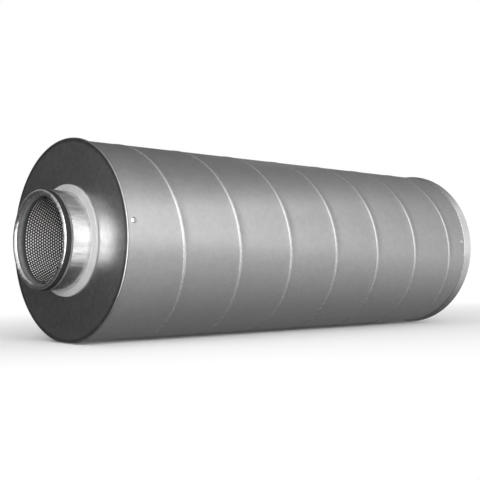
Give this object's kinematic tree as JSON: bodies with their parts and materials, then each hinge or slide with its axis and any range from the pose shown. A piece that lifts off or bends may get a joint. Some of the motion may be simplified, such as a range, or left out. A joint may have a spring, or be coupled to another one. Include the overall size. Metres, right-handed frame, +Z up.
{
  "type": "duct sound attenuator",
  "caption": "Round duct silencer: spiral-wound galvanised casing, flat end caps with gasketed spigots, and a perforated liner wrapped in mineral wool that quietens the air passing through.",
  "frame": {"origin": "middle of the attenuator on its axis, which is the centre of its bounding box", "axes": "+X along the duct axis from inlet to outlet, +Z up, -Y towards the side the picture shows"},
  "size_m": [1.02, 0.3306, 0.3306],
  "materials": {
    "galvanised": "galvanised sheet",
    "plate": "smooth galvanised sheet",
    "rubber": "matt",
    "joint_ring": "matt moulded",
    "liner": "perforated galvanised sheet",
    "tissue": "glass tissue",
    "wool": "mineral wool",
    "rivet": "bright",
    "rivet_pin": "broken pin"
  },
  "bodies": {
    "root": {"outer_casing": "galvanised", "inlet_end_cap": "plate", "outlet_end_cap": "plate", "inlet_spigot": "galvanised", "outlet_spigot": "galvanised", "inlet_lip_gasket": "rubber", "outlet_lip_gasket": "rubber", "inlet_joint_ring": "joint_ring", "outlet_joint_ring": "joint_ring", "perforated_liner": "liner", "tissue_wrap": "tissue", "wool_packing": "wool", "inlet_rivets": "rivet", "outlet_rivets": "rivet", "inlet_rivet_pins": "rivet_pin", "outlet_rivet_pins": "rivet_pin"}
  },
  "joints": []
}
